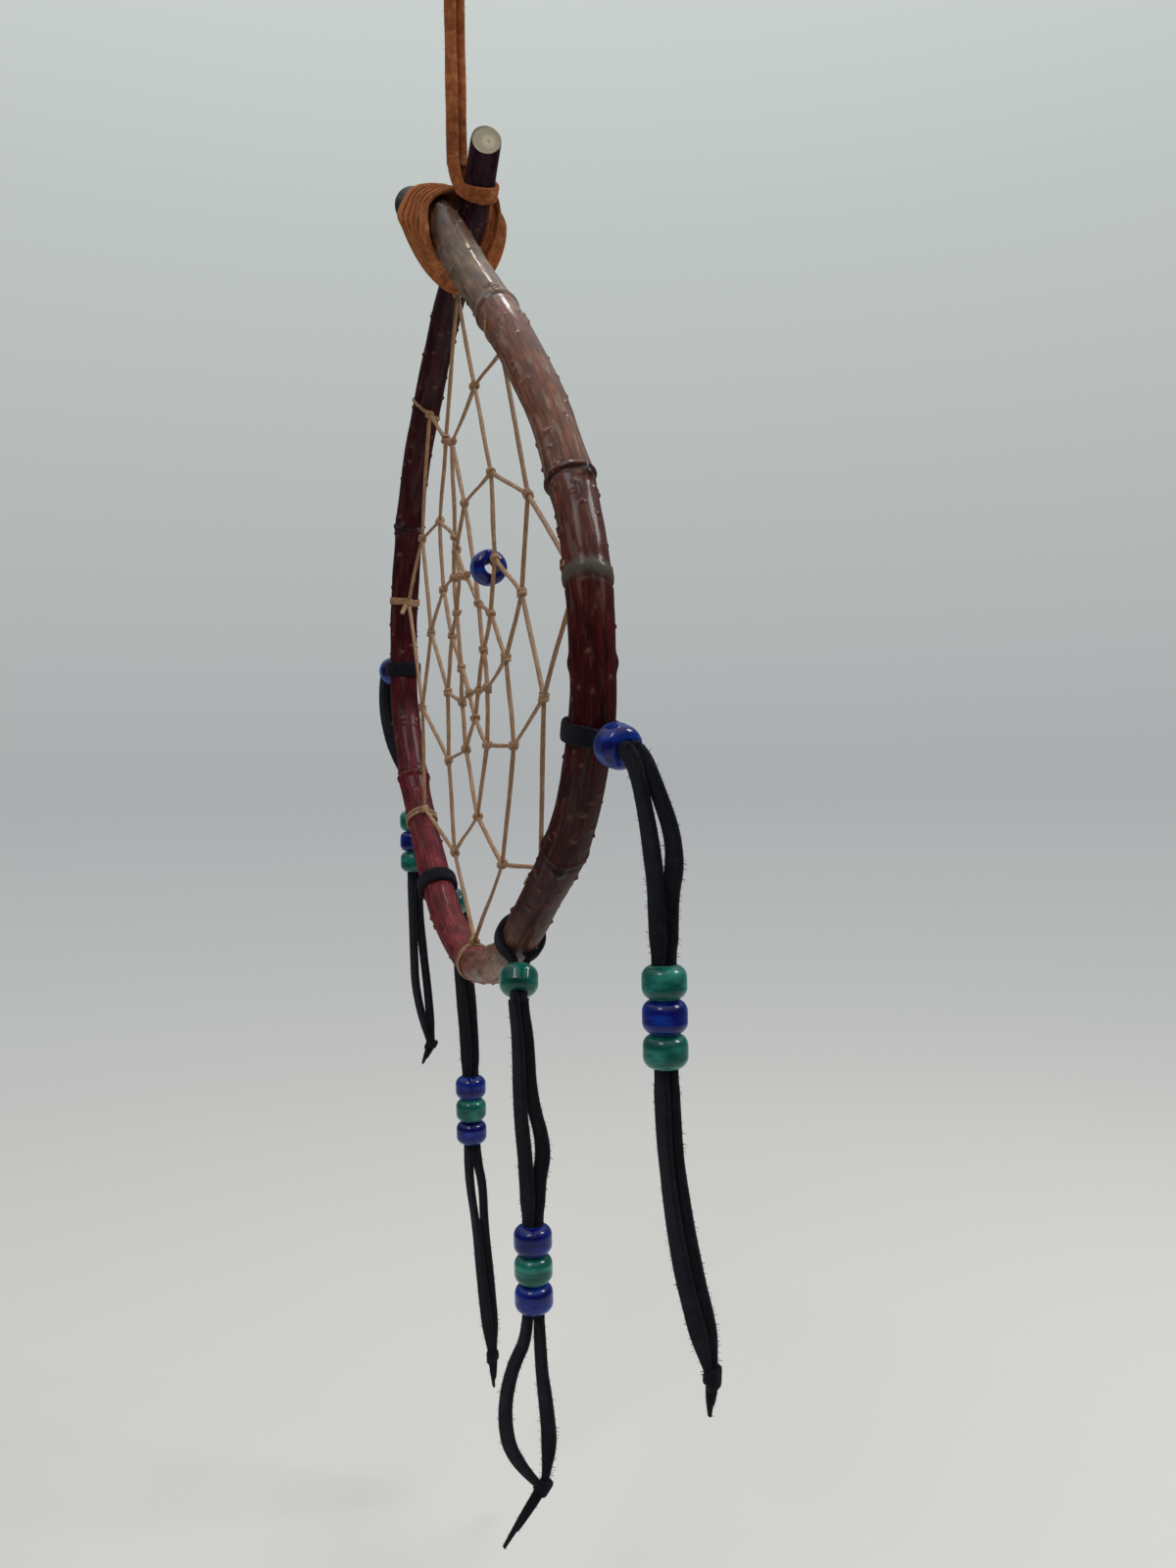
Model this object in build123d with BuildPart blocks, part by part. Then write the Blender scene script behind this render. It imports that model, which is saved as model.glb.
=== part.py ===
from build123d import *
import os
from math import pi, radians, tan

# Dream catcher: a bent twig whose ends cross at the top, lashed and hung by suede lace,
# a hitched thread web with one bead, and four doubled suede laces with pony beads.
# Millimetres. The origin is where a hook bears inside the hanging loop; +Z is up,
# +X runs across the hoop and -Y is the front of the web.

os.makedirs("parts", exist_ok=True)

# ---- hoop ----
hoop_width = 160.0  # twig centre to twig centre at the widest level
hoop_drop = 212.0  # from the hook down to the hoop's widest level
hoop_side = 3.0  # the twig's ends cross this far to one side of the hoop's middle
hoop_back = 1.5  # and this far in front of the web
butt_diameter = 10.3  # the twig's thick end
tip_diameter = 8.0  # and its thin end
bud_ring_rise = 0.45  # how far a bud ring stands out of the bark
bud_ring_length = 3.2
butt_chamfer = 0.6
tip_cut_normal = Vector(0.95, -0.14, 0.28)  # the thin end is cut aslant
tip_cut_spare = 3.0  # twig left beyond the middle of that cut before it is made

# ---- thread web ----
thread_diameter = 1.1
web_knot_diameter = 2.1
hitch_bite = 0.05  # how far a tight turn of thread sinks into the bark
open_hitch_arc = 200.0  # of a hitch whose turn goes out of sight under the bark

# ---- pony beads ----
bead_diameter = 9.0
bead_height = 6.7
bead_bore = 4.2
bead_shoulder = 2.3  # radius of the rounded outer edges
bead_gap = 0.04  # between neighbours in a stack
bore_clearance = 0.05  # between a lace and the bore, and between two laces
web_bead_stop = 5.5  # from the knot at the thread's outer end to the bead's middle

# ---- suede lace ----
lace_width = 4.5  # flat lace where it goes round the twigs
lace_thickness = 1.5
lashing_turns = 5
lashing_pitch = 4.8
lashing_end = 0.5  # the last of those turns is this far left of the hoop's middle
lashing_clearance = 0.2
stub_turn_across = 5.5  # the last turn goes round the thin end alone
loop_clearance = 0.3  # a pendant's loop turns round the twig
loop_width = 4.0
cinch_travel = 3.0
swing_gap = 1.0  # between a loop's legs and the strands that swing from them
stack_count = 3
end_knot_diameter = 5.0
tail_diameter = 2.0

# ---- hanger ----
hanger_diameter = 2.6
hanger_spacing = 2.7
hanger_knot_diameter = 8.6
hanger_knot_height = 9.0
hanger_knot_round = 1.6
hanger_knot_drop = 28.0  # from the hook to the middle of the knot
hanger_foot_drop = 81.0  # from the hook to the top of the lashing
hanger_twist_gap = 0.1  # the strands turn below the knot

middle = Vector(hoop_side, hoop_back, -hoop_drop)  # centre of the hoop's widest level
scale = hoop_width / 160.0  # the outline below is written for a hoop 160 mm wide
thread_radius = thread_diameter / 2
strand_diameter = bead_bore / 2 - 2 * bore_clearance
strand_offset = strand_diameter / 2 + bore_clearance
stack_height = stack_count * bead_height + (stack_count - 1) * bead_gap


def write(builder, name):
    builder.part.label = name
    export_step(builder.part, f"parts/{name}.step")


def corner_radii(points):
    """The largest arcs that the two runs at each corner leave room for."""
    radii = []
    for before, corner, after in zip(points, points[1:], points[2:]):
        turn = (corner - before).get_angle(after - corner)
        shorter = min((corner - before).length, (after - corner).length)
        radii.append(0.45 * shorter / tan(radians(turn) / 2))
    return radii


def soft_path(points):
    """Straight runs joined by tangent arcs."""
    with BuildLine(mode=Mode.PRIVATE) as path:
        if len(points) == 2:
            Line(*points)
        else:
            FilletPolyline(*points, radius=corner_radii(points))
    return path.wire()


def section_plane(path, at):
    return Plane(origin=path @ at, z_dir=path % at)


def write_cord(points, diameter, name):
    """A cord's tube, its smallest bend and its volume against section times length."""
    path = soft_path(points)
    with BuildPart() as cord:
        with BuildSketch(section_plane(path, 0)):
            Circle(diameter / 2)
        sweep(path=path)
    write(cord, name)
    share = cord.part.volume / (pi * diameter**2 / 4 * path.length)
    bends = ", ".join(f"{radius:.0f}" for radius in corner_radii(points)) or "straight"
    print(f"{name}: {path.length:.0f} mm long, bends {bends} mm, volume share {share:.4f}")


def strut(start, end, diameter):
    """A straight round run, added to the sub-part being made."""
    with BuildSketch(Plane(origin=start, z_dir=end - start), mode=Mode.PRIVATE) as section:
        Circle(diameter / 2)
    extrude(section.sketch, amount=(end - start).length)


def ball(centre, diameter):
    with Locations(centre):
        Sphere(diameter / 2)


# ---------------------------------------------------------------- the twig
# Corners of the twig's route from its thick end, over the crossing, down the right side,
# round the bottom, up the left side and over the crossing again to its thin end:
# across, back and up from the middle of the hoop.
twig_corners = [
    (-31, -9.5, 139), (-8, -6, 122), (15, -5.5, 100), (46, -2.6, 69), (63, 0, 45),
    (80, 0, 13), (80, 0, -21), (65, 0, -44), (24, 0, -73), (-2, 0, -80), (-33, 0, -70),
    (-65, 0, -36), (-82, 0, -1), (-76, 0, 32), (-66, 1, 66), (-40, 3, 101),
    (-7, 3.5, 120.5), (9, 3.5, 137),
]  # fmt: skip
bud_rings = [0.129, 0.244, 0.2885, 0.39, 0.49, 0.66, 0.80]  # along the twig
twig_path = soft_path([middle + Vector(*corner) * scale for corner in twig_corners])
twig_edges = twig_path.edges()

# The twig tapers along its straight runs and keeps one radius round each bend.
edge_ends = [0.0]
for edge in twig_edges:
    edge_ends.append(edge_ends[-1] + edge.length / twig_path.length)
bend_radius = {}
for index, (start, end) in enumerate(zip(edge_ends, edge_ends[1:])):
    if twig_edges[index].geom_type != GeomType.LINE:
        bend_radius[index] = (
            butt_diameter + (tip_diameter - butt_diameter) * (start + end) / 2
        ) / 2


def end_radii(index):
    """The twig's radius at both ends of one edge of its path."""
    if index in bend_radius:
        return bend_radius[index], bend_radius[index]
    first = bend_radius.get(index - 1, bend_radius.get(index + 1))
    last = bend_radius.get(index + 1, first)
    return first, last


def twig_radius(at):
    index = max(i for i, start in enumerate(edge_ends[:-1]) if start <= at)
    share = (at - edge_ends[index]) / (edge_ends[index + 1] - edge_ends[index])
    first, last = end_radii(index)
    return first + (last - first) * share


tip = section_plane(twig_path, 1)
with BuildPart() as hoop_twig:
    for index, edge in enumerate(twig_edges):
        first, last = end_radii(index)
        with BuildSketch(section_plane(edge, 0)):
            Circle(first)
        if first == last:
            sweep(path=edge)
        else:
            with BuildSketch(section_plane(edge, 1)):
                Circle(last)
            loft()
    with BuildSketch(tip):
        Circle(twig_radius(1))
    extrude(amount=tip_cut_spare)
    with BuildSketch(Plane(origin=tip.origin, z_dir=tip_cut_normal)):
        Circle(tip_diameter)
    extrude(amount=tip_diameter, mode=Mode.SUBTRACT)
    butt_face = hoop_twig.faces().sort_by_distance(twig_path @ 0)[0]
    chamfer(butt_face.edges(), butt_chamfer)
    for at in bud_rings:
        with BuildSketch(section_plane(twig_path, at).offset(-bud_ring_length / 2)):
            Circle(twig_radius(at) + bud_ring_rise)
        extrude(amount=bud_ring_length)
write(hoop_twig, "hoop_twig")


# ---------------------------------------------------------------- the web
# The thread is hitched to the twig eight times. Each later round hangs from the middle of
# the round before, and its knots are listed across and up from the middle of the hoop.
hitches = [0.522, 0.634, 0.761, 0.863, 0.9305, 0.162, 0.2845, 0.4165]  # along the twig
open_hitches = [5, 6, 7]
web_knots = [
    [(-23, -49.5), (-56, -6.5), (-52, 44.5), (-24, 67),
     (4, 73), (43.5, 35.5), (51.5, -11.5), (19.5, -50.5)],
    [(-27.5, -23.5), (-44, 15), (-32, 45.5), (-18, 64.5),
     (16.5, 47.5), (38, 14), (30, -21.5), (-0.5, -39)],
    [(-10, -21), (-27, -4), (-29.5, 25.5), (-17, 38),
     (-7, 45), (18.5, 25.5), (25.5, 0), (9, -20.5)],
    [(-13, -8), (-21.5, 11), (-18.5, 27), (-15.5, 34),
     (1, 26), (14, 12.5), (10, -6), (-1, -13)],
    [(-13, 1.5), (-16.5, 17), (-13, 26.5), (-7, 25.5),
     (4, 16.5), (7.5, 4), (2.5, -6), (-6, -6)],
]  # fmt: skip
# A round's knot hangs between knots number i and i + 1 of the round before, or between
# numbers i - 1 and i where the maker went the other way from the first hitch.
hangs_ahead = [True, True, False, True, True]


def web_point(across, up):
    return middle + Vector(across, 0, up) * scale


hitch_knots = []
with BuildPart() as web_hitches:
    for number, at in enumerate(hitches):
        centre = twig_path @ at
        along = twig_path % at
        inward = middle - centre
        inward = (inward - along * inward.dot(along)).normalized()
        arc = open_hitch_arc if number in open_hitches else 360
        start = inward.rotate(Axis((0, 0, 0), along), -arc / 2)
        with Locations(Plane(centre, x_dir=start, z_dir=along).location):
            turn_radius = twig_radius(at) + thread_radius - hitch_bite
            Torus(turn_radius, thread_radius, major_angle=arc, align=None)
        knot = centre + inward * (twig_radius(at) + thread_diameter)
        with Locations(Plane(knot, x_dir=inward, z_dir=along).location):
            Sphere(web_knot_diameter / 2)
        hitch_knots.append(knot)
write(web_hitches, "web_hitches")

hung_from = hitch_knots
for number, corners in enumerate(web_knots):
    low_points = [web_point(*corner) for corner in corners]
    with BuildPart() as web_round:
        for index, low in enumerate(low_points):
            other = index + 1 if hangs_ahead[number] else index - 1
            for high in (hung_from[index], hung_from[other % len(hung_from)]):
                strut(high, low, thread_diameter)
        if number > 0:
            for high in hung_from:
                ball(high, web_knot_diameter)
    write(web_round, f"web_round_{number + 1}")
    hung_from = low_points

with BuildPart() as web_round:
    for index, knot in enumerate(hung_from):
        strut(hung_from[index - 1], knot, thread_diameter)
        ball(knot, web_knot_diameter)
write(web_round, f"web_round_{len(web_knots) + 1}")


# ---------------------------------------------------------------- beads
with BuildPart() as pony_bead:
    with BuildSketch(Plane.XZ) as profile:
        with Locations(((bead_diameter + bead_bore) / 4, 0)):
            Rectangle((bead_diameter - bead_bore) / 2, bead_height)
        fillet(profile.vertices().group_by(Axis.X)[-1], bead_shoulder)
    revolve(axis=Axis.Z)


def write_bead(centre, axis, name):
    with BuildPart() as bead:
        with Locations(Plane(origin=centre, z_dir=axis).location):
            add(pony_bead.part)
    write(bead, name)


outer_end, inner_end = web_point(*web_knots[2][5]), web_point(*web_knots[3][4])
thread_line = (inner_end - outer_end).normalized()
hang = Vector(0, 0, thread_radius + bore_clearance - bead_bore / 2)
write_bead(outer_end + thread_line * web_bead_stop + hang, thread_line, "web_bead")
print(f"web bead slides along {thread_line}")


# ---------------------------------------------------------------- pendants
# Each pendant is a doubled lace: its loop turns round the twig at a share of the twig's
# length, goes out along its drop through a cinch bead, and two strands hang on from there
# through a stack of beads to a knot. Routes are across, back and up from the twig's
# middle line at the loop. "above" and "below" say how far past the stack each strand
# stays straight.
pendants = {
    "right": dict(
        at=0.3414, drop=(0.966, 0.12, -0.25), cinch=11.05,
        upper_a=[(22.3, 1.3, -8), (19.5, 4.2, -21.5)],
        upper_b=[(23.3, 3.6, -7.5), (20.5, 8.6, -21)],
        stack=(11.5, 9.8, -46.1), above=(11, 11), below=(10, 10),
        lower_a=[(11.5, 9.9, -90.5), (11.5, 12.3, -106.5), (11.5, 16, -120.5)],
        lower_b=[(11.5, 12.5, -90.5), (11.5, 15.1, -107), (11.5, 18.4, -120.5)],
        knot=(11.5, 18.7, -129), tail=(11.5, 18.2, -136.5),
    ),
    "near": dict(
        at=0.4543, drop=(0.547, -0.224, -0.807), cinch=11.05,
        upper_a=[(9, -4, -22), (6.5, -3.2, -38)],
        upper_b=[(8.5, -1.4, -22.5), (6.3, 1.4, -36), (6, 2.6, -49)],
        stack=(6, -0.3, -66.2), above=(10.7, 8.3), below=(6.8, 10),
        lower_a=[(6, -6.6, -98.5), (6, -9.2, -109), (6, -5.9, -120)],
        lower_b=[(6, 2.9, -109), (6, 4.1, -119.5)],
        knot=(6, 2.7, -128), tail=(6, -7.4, -139.4),
    ),
    "far": dict(
        at=0.5911, drop=(-0.6, 0.56, -0.565), cinch=11.05,
        upper_a=[(-12.5, 9.6, -15.5), (-9.5, 7.8, -25), (-5, 7.2, -38)],
        upper_b=[(-11.7, 12.2, -14.7), (-9.3, 11.8, -24), (-5, 12, -38)],
        stack=(-2.5, 9.8, -58.4), above=(9, 9), below=(10.5, 10.5),
        lower_a=[(-2.5, 10.5, -104), (-2.3, 12.1, -124)],
        lower_b=[(-2.5, 13.3, -104), (-2.5, 15, -124)],
        knot=(-2.5, 15.1, -144), tail=(-2.5, 15.5, -153.3),
    ),
    "left": dict(
        at=0.7242, drop=(-0.966, -0.05, -0.25), cinch=11.05,
        upper_a=[(-21.5, -2, -4.5), (-20, -2.3, -12), (-15.5, -1.6, -21), (-11, -0.2, -28)],
        upper_b=[(-22, 0.3, -4.5), (-20.8, 0.8, -12), (-16.2, 1.1, -21), (-11.6, 2.2, -28)],
        stack=(-5.5, 3.9, -46.3), above=(10, 10), below=(10.5, 10.5),
        lower_a=[(-5.3, 3.3, -91.5), (-5.5, 4.5, -108.5)],
        lower_b=[(-5.5, 6.1, -91.5), (-5.3, 7, -108.5)],
        knot=(-5.5, 8.4, -124.1), tail=(-5.5, 5.6, -130.2),
    ),
}  # fmt: skip

for name, pendant in pendants.items():
    attach = twig_path @ pendant["at"]
    along = twig_path % pendant["at"]
    drop = Vector(*pendant["drop"])
    drop = (drop - along * drop.dot(along)).normalized()
    apart = (Vector(0, 1, 0) - drop * drop.Y).normalized()  # from strand a to strand b
    inner = twig_radius(pendant["at"]) + loop_clearance
    outer = inner + lace_thickness
    legs_end = pendant["cinch"] + bead_height / 2 + cinch_travel

    with BuildPart() as pendant_loop:
        with BuildSketch(Plane(origin=attach, z_dir=along).offset(-loop_width / 2)):
            Circle(outer)
            Circle(inner, mode=Mode.SUBTRACT)
        extrude(amount=loop_width)
        for side in (-1, 1):
            leg = attach + apart * side * strand_offset
            strut(leg + drop * (inner + outer) / 2, leg + drop * legs_end, strand_diameter)
    write(pendant_loop, f"{name}_loop")
    swing = attach + drop * (legs_end + swing_gap / 2)
    print(f"{name}: loop turns at {attach} about {along}; swings at {swing}; drop {drop}")

    write_bead(attach + drop * pendant["cinch"], drop, f"{name}_cinch_bead")

    top = attach + Vector(*pendant["stack"])
    knot = attach + Vector(*pendant["knot"])
    for letter, side, above, below in zip("ab", (-1, 1), pendant["above"], pendant["below"]):
        aside = Vector(0, side * strand_offset, 0)
        points = [attach + drop * (legs_end + swing_gap) + apart * side * strand_offset]
        points += [attach + Vector(*corner) for corner in pendant[f"upper_{letter}"]]
        points += [top + aside + Vector(0, 0, above)]
        points += [top + aside - Vector(0, 0, stack_height + below)]
        points += [attach + Vector(*corner) for corner in pendant[f"lower_{letter}"]]
        write_cord(points + [knot + aside], strand_diameter, f"{name}_strand_{letter}")

    for number in range(stack_count):
        centre = top - Vector(0, 0, bead_height / 2 + number * (bead_height + bead_gap))
        write_bead(centre, Vector(0, 0, 1), f"{name}_bead_{number + 1}")

    with BuildPart() as end_knot:
        ball(knot, end_knot_diameter)
        strut(knot, attach + Vector(*pendant["tail"]), tail_diameter)
    write(end_knot, f"{name}_end_knot")


# ---------------------------------------------------------------- lashing
def crossing(across, low, high):
    """Where the twig passes a distance across from the hoop's middle, between two shares."""
    rising = (twig_path @ high).X > (twig_path @ low).X
    for _ in range(30):
        at = (low + high) / 2
        if ((twig_path @ at).X < middle.X + across) == rising:
            low = at
        else:
            high = at
    return at


with BuildPart() as lashing:
    for turn in range(lashing_turns):
        across = -(lashing_end + lashing_pitch * (lashing_turns - 1 - turn)) * scale
        sections = []  # centre across the lace, height and radius of the circles it spans
        for low, high in ((0, 0.13), (0.88, 1)):
            at = crossing(across, low, high)
            centre, along = twig_path @ at, twig_path % at
            radius = twig_radius(at) + lashing_clearance
            slant = radius * (1 / abs(along.X) - 1)
            climb = abs(along.Z / along.X) * lace_width / 2
            for side in (-1, 1):
                sections.append((centre.Y, centre.Z + side * (slant + climb), radius))
        wrap = Plane(origin=(middle.X + across - lace_width / 2, 0, 0), x_dir=(0, 1, 0),
                     z_dir=(1, 0, 0))  # fmt: skip
        for thickness, mode in ((lace_thickness, Mode.ADD), (0, Mode.SUBTRACT)):
            with BuildSketch(wrap, mode=Mode.PRIVATE) as outline:
                for back, height, radius in sections:
                    with Locations((back, height)):
                        Circle(radius + thickness)
                make_hull()
            extrude(outline.sketch, amount=lace_width, mode=mode)
write(lashing, "lashing")

with BuildPart() as stub_turn:
    at = crossing(stub_turn_across * scale, 0.9, 1)
    with BuildSketch(section_plane(twig_path, at).offset(-lace_width / 2)):
        Circle(twig_radius(at) + lashing_clearance + lace_thickness)
        Circle(twig_radius(at) + lashing_clearance, mode=Mode.SUBTRACT)
    extrude(amount=lace_width)
write(stub_turn, "stub_turn")


# ---------------------------------------------------------------- hanger
knot_foot = hanger_knot_drop + hanger_knot_height / 2
for letter, side in zip("ab", (-1, 1)):
    back = side * hanger_spacing / 2
    head = Vector(0, back, -knot_foot - hanger_twist_gap)
    foot = Vector(0, back, -hanger_foot_drop)
    write_cord([head, foot], hanger_diameter, f"hanger_strand_{letter}")

with BuildPart() as hanger_knot:
    with Locations((0, 0, -hanger_knot_drop)):
        Cylinder(hanger_knot_diameter / 2, hanger_knot_height)
    fillet(hanger_knot.edges().filter_by(GeomType.CIRCLE), hanger_knot_round)
write(hanger_knot, "hanger_knot")

# half of the loop, from the knot to the top: back and up from the hook
crown = hanger_diameter / 2
half_loop = [(-1.4, -25), (-7, -17.5), (-10, -7), (-5.5, crown)]
other_half = [(-back, up) for back, up in reversed(half_loop)]
loop_points = [Vector(0, back, up) for back, up in half_loop + other_half]
write_cord(loop_points, hanger_diameter, "hanging_loop")
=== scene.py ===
import math
import random

import bpy
import numpy as np
from mathutils import Matrix, Vector, noise
from mathutils.bvhtree import BVHTree


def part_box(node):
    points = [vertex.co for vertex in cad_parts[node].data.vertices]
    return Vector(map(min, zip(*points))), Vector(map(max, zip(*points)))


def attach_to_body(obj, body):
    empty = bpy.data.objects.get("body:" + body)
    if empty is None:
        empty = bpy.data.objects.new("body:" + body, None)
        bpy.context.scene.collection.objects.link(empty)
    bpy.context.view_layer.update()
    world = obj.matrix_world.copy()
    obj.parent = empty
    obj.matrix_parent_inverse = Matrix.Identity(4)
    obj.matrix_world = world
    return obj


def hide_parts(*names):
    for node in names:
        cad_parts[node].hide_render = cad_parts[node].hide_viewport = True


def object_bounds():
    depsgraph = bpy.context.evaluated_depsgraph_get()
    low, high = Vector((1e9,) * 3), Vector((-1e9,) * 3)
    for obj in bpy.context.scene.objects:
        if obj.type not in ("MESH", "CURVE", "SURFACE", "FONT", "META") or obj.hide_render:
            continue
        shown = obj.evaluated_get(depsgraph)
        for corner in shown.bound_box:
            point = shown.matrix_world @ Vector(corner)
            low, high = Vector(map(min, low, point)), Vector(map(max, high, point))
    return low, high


# Dream catcher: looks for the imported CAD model. Metres, in the CAD frame: the origin is where
# a hook bears inside the hanging loop, +Z is up and -Y is the front of the web.
# Lists of points and sizes are written in millimetres and turned into metres by MM.

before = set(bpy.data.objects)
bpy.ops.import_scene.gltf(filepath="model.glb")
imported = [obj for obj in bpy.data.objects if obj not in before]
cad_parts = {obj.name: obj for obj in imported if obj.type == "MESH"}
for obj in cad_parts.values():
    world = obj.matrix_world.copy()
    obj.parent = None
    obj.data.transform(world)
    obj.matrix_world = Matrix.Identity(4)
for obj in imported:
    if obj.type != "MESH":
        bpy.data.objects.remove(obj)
cad_low, cad_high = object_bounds()

MM = 0.001
MIDDLE = np.array((3.0, 1.5, -212.0))  # of the hoop, as in part.py

# ---- sizes, in millimetres ----
BUTT_DIAMETER = 10.3
TIP_DIAMETER = 8.0
TIP_CUT_NORMAL = np.array((0.95, -0.14, 0.28))
THREAD_WIDTH = 1.15
THREAD_DEPTH = 0.85
LACE_WIDTH = 3.8  # black suede lace of the pendants
LACE_DEPTH = 1.5
LOOP_WIDTH = 4.3  # the same lace pressed flat round the twig
BORE_WIDTH = 2.9  # and squeezed into a bead's bore
BORE_DEPTH = 1.9
STRAND_OFFSET = 1.05  # of each strand from the middle of a bore
BEAD_HEIGHT = 6.7
STACK_HEIGHT = 20.18  # of a pendant's three beads
CINCH_DROP = 11.05  # from the middle of the twig to the middle of a cinch bead
CINCH_GATE = CINCH_DROP - BEAD_HEIGHT / 2  # to the bead's near side
LEGS_END = CINCH_DROP + BEAD_HEIGHT / 2 + 3.0  # to where the strands take over from the loop
HANGER_WIDTH = 3.3  # tan suede lace of the hanger
HANGER_DEPTH = 1.5
WRAP_DEPTH = 1.1  # of a lace wound tightly
HAIR_WIDTH = 0.08
HAIR_ROOT = 0.12  # how far inside its lace a hair starts

# ---- routes and places repeated from part.py ----
TWIG_CORNERS = [
    (-31, -9.5, 139), (-8, -6, 122), (15, -5.5, 100), (46, -2.6, 69), (63, 0, 45),
    (80, 0, 13), (80, 0, -21), (65, 0, -44), (24, 0, -73), (-2, 0, -80), (-33, 0, -70),
    (-65, 0, -36), (-82, 0, -1), (-76, 0, 32), (-66, 1, 66), (-40, 3, 101),
    (-7, 3.5, 120.5), (9, 3.5, 137),
]
# The photograph shows both ends a little lower: how far in from the end, and the shift there.
BUTT_SHIFT = (26, (5.6, 1.0, -6.8))
TIP_SHIFT = (16, (-1.6, 0, -1.0))
# Hitches are shares of the twig's length. Web knots lie across and above the middle.
HITCHES = [0.522, 0.634, 0.761, 0.863, 0.9305, 0.162, 0.2845, 0.4165]
WEB_KNOTS = [
    [(-23, -49.5), (-56, -6.5), (-52, 44.5), (-24, 67),
     (4, 73), (43.5, 35.5), (51.5, -11.5), (19.5, -50.5)],
    [(-27.5, -23.5), (-44, 15), (-32, 45.5), (-18, 64.5),
     (16.5, 47.5), (38, 14), (30, -21.5), (-0.5, -39)],
    [(-10, -21), (-27, -4), (-29.5, 25.5), (-17, 38),
     (-7, 45), (18.5, 25.5), (25.5, 0), (9, -20.5)],
    [(-13, -8), (-21.5, 11), (-18.5, 27), (-15.5, 34),
     (1, 26), (14, 12.5), (10, -6), (-1, -13)],
    [(-13, 1.5), (-16.5, 17), (-13, 26.5), (-7, 25.5),
     (4, 16.5), (7.5, 4), (2.5, -6), (-6, -6)],
]
# Each round of thread hangs from the knots before it, one place ahead or behind.
HANGS_AHEAD = [True, True, False, True, True]
# The directions that a strand's width turns through, from its bead to its knot.
STRAND_FACINGS = [(1, 0.2, 0), (0.8, 0.6, 0), (1, 0.2, 0), (0.6, 0.8, 0)]
# at: share of the twig's length. The other places are from the middle of the twig there.
# upper, lower: corners of the two strands over and under the stack, whose top is at stack.
# above, below: how far past the stack each strand stays straight. lengths: of the strands.
PENDANTS = {
    "right": dict(
        at=0.3414, drop=(0.966, 0.12, -0.25),
        upper=([(19.9, 1.4, -10.3), (19.3, 3.8, -21.5)],
               [(21, 3.8, -9.8), (20.5, 8.8, -23)]),
        stack=(11.5, 9.8, -46.1), above=(11, 11), below=(10, 10),
        lower=([(11.5, 9.9, -90.5), (11.5, 12.3, -106.5), (11.5, 16, -120.5)],
               [(11.5, 12.5, -90.5), (11.5, 15.1, -107), (11.5, 18.4, -120.5)]),
        knot=(11.5, 18.7, -129), tail=(11.5, 18.2, -136.5), lengths=(129, 131),
    ),
    "near": dict(
        at=0.4543, drop=(0.547, -0.224, -0.807),
        upper=([(9, -4, -22), (6.5, -3.2, -38)],
               [(8.5, -1.4, -22.5), (6.3, -0.5, -36), (6, 3.2, -49)]),
        stack=(6, -0.3, -66.2), above=(10.7, 8.3), below=(4.5, 10),
        lower=([(6, -6.2, -98.5), (6, -8.4, -109), (6, -6.4, -120)],
               [(6, 2.2, -109), (6, 3.0, -119.5)]),
        knot=(6, 0.9, -127.6), tail=(6, -8.6, -139.4), lengths=(119, 114),
    ),
    "far": dict(
        at=0.5911, drop=(-0.6, 0.56, -0.565),
        upper=([(-12.5, 9.8, -15.5), (-9.5, 8.6, -25), (-5, 8.4, -38)],
               [(-11.7, 12.2, -14.7), (-9.3, 11.3, -24), (-5, 11.2, -38)]),
        stack=(-2.5, 9.8, -58.4), above=(9, 9), below=(4, 4),
        lower=([(-2.5, 8.9, -91), (-2.5, 10.9, -105), (-2.3, 12.4, -124)],
               [(-2.5, 13, -91), (-2.5, 13.2, -105), (-2.5, 14.8, -124)]),
        knot=(-2.5, 15.1, -144), tail=(-2.5, 15.5, -153.3), lengths=(135, 135),
    ),
    "left": dict(
        at=0.7242, drop=(-0.966, -0.05, -0.25),
        upper=([(-21.5, -2, -4.5), (-20, -2.3, -12), (-15.5, -1.6, -21), (-11, -0.2, -28)],
               [(-22, 0.3, -4.5), (-20.8, 0.8, -12), (-16.2, 1.1, -21), (-11.6, 2.2, -28)]),
        stack=(-5.5, 3.9, -46.3), above=(10, 10), below=(10.5, 10.5),
        lower=([(-5.3, 3.1, -91.5), (-5.5, 3.5, -108.5)],
               [(-5.5, 6.1, -91.5), (-5.3, 7.8, -108.5)]),
        knot=(-5.5, 8.4, -124.1), tail=(-5.5, 5.6, -130.2), lengths=(130, 131),
        facings=[(1, 0.2, 0), (0.8, 0.6, 0), (0.9, 0.3, 0), (0.9, 0.3, 0)],
    ),
}


# ---- camera ----
CAMERA_PLACE = Vector((300.7, -89.7, -243.0)) * MM
CAMERA_FORWARD = Vector((-0.925, 0.381, 0.0))
CAMERA_ACROSS = np.array((0.381, 0.925, 0.0))  # a lace facing this way shows its flat side
CAMERA_ROLL = math.radians(-1.1)
CAMERA_LENS = 27.05  # for a 36 mm sensor along the frame's long side


def placed(name, data):
    """A new object in the scene."""
    thing = bpy.data.objects.new(name, data)
    bpy.context.scene.collection.objects.link(thing)
    return thing


def make_camera():
    data = bpy.data.cameras.new("camera")
    data.sensor_width = 36
    data.lens = CAMERA_LENS
    data.clip_start = 0.01
    camera = placed("camera", data)
    camera.location = CAMERA_PLACE
    level = CAMERA_FORWARD.to_track_quat("-Z", "Y").to_matrix()
    camera.rotation_euler = (level @ Matrix.Rotation(CAMERA_ROLL, 3, "Z")).to_euler()
    bpy.context.scene.camera = camera


# ---- lines ----
def unit(vectors):
    return vectors / np.linalg.norm(vectors, axis=-1, keepdims=True)


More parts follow.
